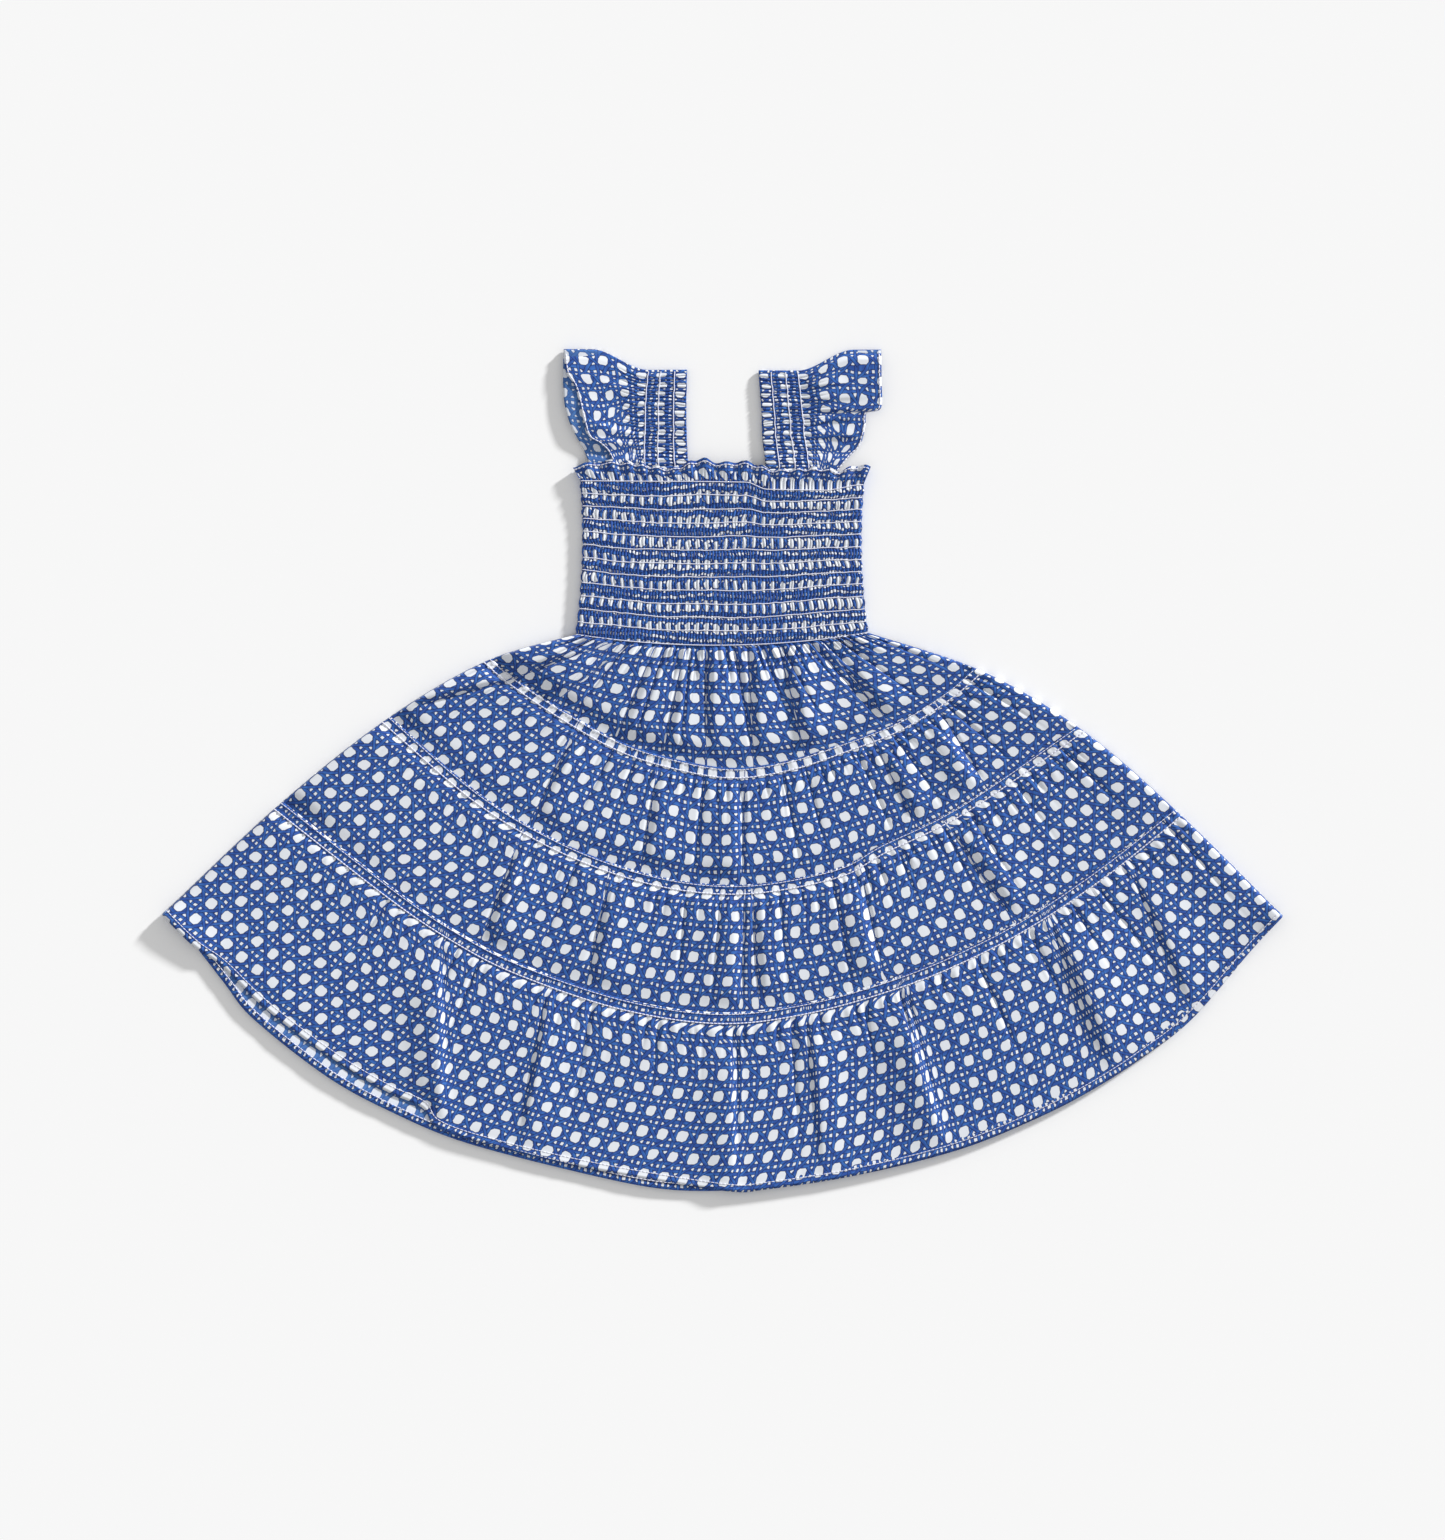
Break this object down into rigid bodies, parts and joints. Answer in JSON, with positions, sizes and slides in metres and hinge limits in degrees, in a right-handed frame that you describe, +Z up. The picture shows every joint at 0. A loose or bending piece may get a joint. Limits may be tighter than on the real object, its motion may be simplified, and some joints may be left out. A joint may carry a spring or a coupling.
{
  "type": "girl's tiered sundress, laid flat",
  "caption": "Sleeveless child's sundress laid flat: shirred bodice, flutter shoulder straps and a wide gathered skirt in tiers.",
  "frame": {"origin": "middle of the laid-out dress, on the surface that it lies on", "axes": "+X to the viewer's right across the skirt, +Y towards the neck, +Z up from the surface through the front of the dress"},
  "size_m": [0.8392, 0.6317, 0.008],
  "materials": {
    "printed_cotton": "matt woven cotton with a printed cane lattice in blues on white",
    "sewing_thread": "white spun polyester thread, slightly glossy"
  },
  "bodies": {
    "root": {"bodice_front": "printed_cotton", "bodice_back": "printed_cotton", "neck_frill_front": "printed_cotton", "neck_frill_back": "printed_cotton", "tier_1_front": "printed_cotton", "tier_1_back": "printed_cotton", "tier_2_front": "printed_cotton", "tier_2_back": "printed_cotton", "tier_3_front": "printed_cotton", "tier_3_back": "printed_cotton", "tier_4_front": "printed_cotton", "tier_4_back": "printed_cotton", "flutter_strap_left": "printed_cotton", "flutter_strap_right": "printed_cotton"}
  },
  "joints": []
}
